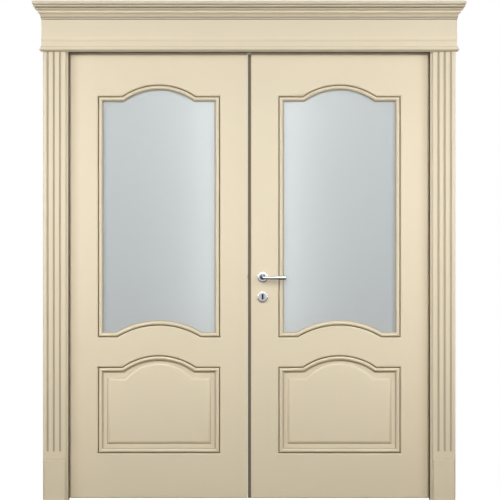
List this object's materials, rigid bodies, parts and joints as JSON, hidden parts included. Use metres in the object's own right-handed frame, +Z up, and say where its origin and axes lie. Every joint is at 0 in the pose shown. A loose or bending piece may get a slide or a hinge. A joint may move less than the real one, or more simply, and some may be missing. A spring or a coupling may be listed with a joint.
{
  "type": "double interior door",
  "caption": "Double interior door in its frame: half-glazed leaves with arched mouldings and raised panels, fluted casings on plinth blocks, crowned head, lever handle and mortise lock.",
  "frame": {"origin": "centre of the footprint on the floor, midway in width and in overall depth", "axes": "+Z up, +X to the right seen from the front, +Y through the wall away from the front; the leaves open towards +Y"},
  "size_m": [1.96, 0.2099, 2.251],
  "materials": {
    "cream_paint": "satin cream paint",
    "frosted_glass": "frosted",
    "chrome": "polished",
    "brushed_steel": "brushed",
    "brown_rubber": "matt",
    "dark_nylon": "matt"
  },
  "bodies": {
    "frame": {"left_jamb": "cream_paint", "right_jamb": "cream_paint", "head_jamb": "cream_paint", "left_jamb_seal": "brown_rubber", "right_jamb_seal": "brown_rubber", "head_seal": "brown_rubber", "left_casing": "cream_paint", "right_casing": "cream_paint", "left_plinth_block": "cream_paint", "right_plinth_block": "cream_paint", "frieze_board": "cream_paint", "neck_moulding": "cream_paint", "crown_moulding": "cream_paint", "rear_left_casing": "cream_paint", "rear_right_casing": "cream_paint", "rear_head_casing": "cream_paint", "left_hinge_frame_knuckles": "brushed_steel", "right_hinge_frame_knuckles": "brushed_steel", "left_hinge_pins": "brushed_steel", "right_hinge_pins": "brushed_steel", "bolt_keeper": "brushed_steel", "keeper_screws": "brushed_steel"},
    "left_leaf": {"left_leaf": "cream_paint", "left_glass": "frosted_glass", "left_glass_moulding_front": "cream_paint", "left_glass_moulding_rear": "cream_paint", "left_panel": "cream_paint", "left_panel_moulding_front": "cream_paint", "left_panel_moulding_rear": "cream_paint", "left_hinge_leaf_knuckles": "brushed_steel", "strike_plate": "brushed_steel", "flush_bolt_plates": "brushed_steel", "left_edge_screws": "brushed_steel"},
    "right_leaf": {"right_leaf": "cream_paint", "right_glass": "frosted_glass", "right_glass_moulding_front": "cream_paint", "right_glass_moulding_rear": "cream_paint", "right_panel": "cream_paint", "right_panel_moulding_front": "cream_paint", "right_panel_moulding_rear": "cream_paint", "right_hinge_leaf_knuckles": "brushed_steel", "meeting_strip": "cream_paint", "meeting_seal": "brown_rubber", "lock_case": "brushed_steel", "lock_forend": "brushed_steel", "forend_screws": "brushed_steel", "front_rose": "chrome", "rear_rose": "chrome", "lever_bushes": "dark_nylon", "front_key_rose": "chrome", "rear_key_rose": "chrome"},
    "handle": {"front_lever": "chrome", "rear_lever": "chrome", "spindle": "brushed_steel", "lock_follower": "brushed_steel"},
    "latch": {"latch_bolt": "brushed_steel"},
    "deadbolt": {"deadbolt": "brushed_steel"},
    "upper_flush_bolt": {"upper_flush_bolt": "brushed_steel"},
    "lower_flush_bolt": {"lower_flush_bolt": "brushed_steel"}
  },
  "joints": [
    {"name": "left_leaf_swing", "type": "hinge", "parent": "frame", "child": "left_leaf", "pos_m": [-0.8275, 0.0533, 1.009], "axis": [0, 0, 1], "range_deg": [0, 170]},
    {"name": "right_leaf_swing", "type": "hinge", "parent": "frame", "child": "right_leaf", "pos_m": [0.8275, 0.0533, 1.009], "axis": [0, 0, -1], "range_deg": [0, 170]},
    {"name": "handle_turn", "type": "hinge", "parent": "right_leaf", "child": "handle", "pos_m": [0.0605, 0.0235, 1.006], "axis": [0, 1, 0], "range_deg": [0, 40], "stiffness_Nm_per_rad": 0.9, "springref_deg": -31.51},
    {"name": "latch_slide", "type": "slide", "parent": "right_leaf", "child": "latch", "axis": [1, 0, 0], "range_m": [0, 0.0125]},
    {"name": "deadbolt_slide", "type": "slide", "parent": "right_leaf", "child": "deadbolt", "axis": [-1, 0, 0], "range_m": [0, 0.014]},
    {"name": "upper_bolt_slide", "type": "slide", "parent": "left_leaf", "child": "upper_flush_bolt", "axis": [0, 0, 1], "range_m": [0, 0.023]},
    {"name": "lower_bolt_slide", "type": "slide", "parent": "left_leaf", "child": "lower_flush_bolt", "axis": [0, 0, -1], "range_m": [0, 0.018]}
  ],
  "couplings": [
    {"joint": "latch_slide", "follows": "handle_turn", "m_per_rad": 0.0179}
  ]
}
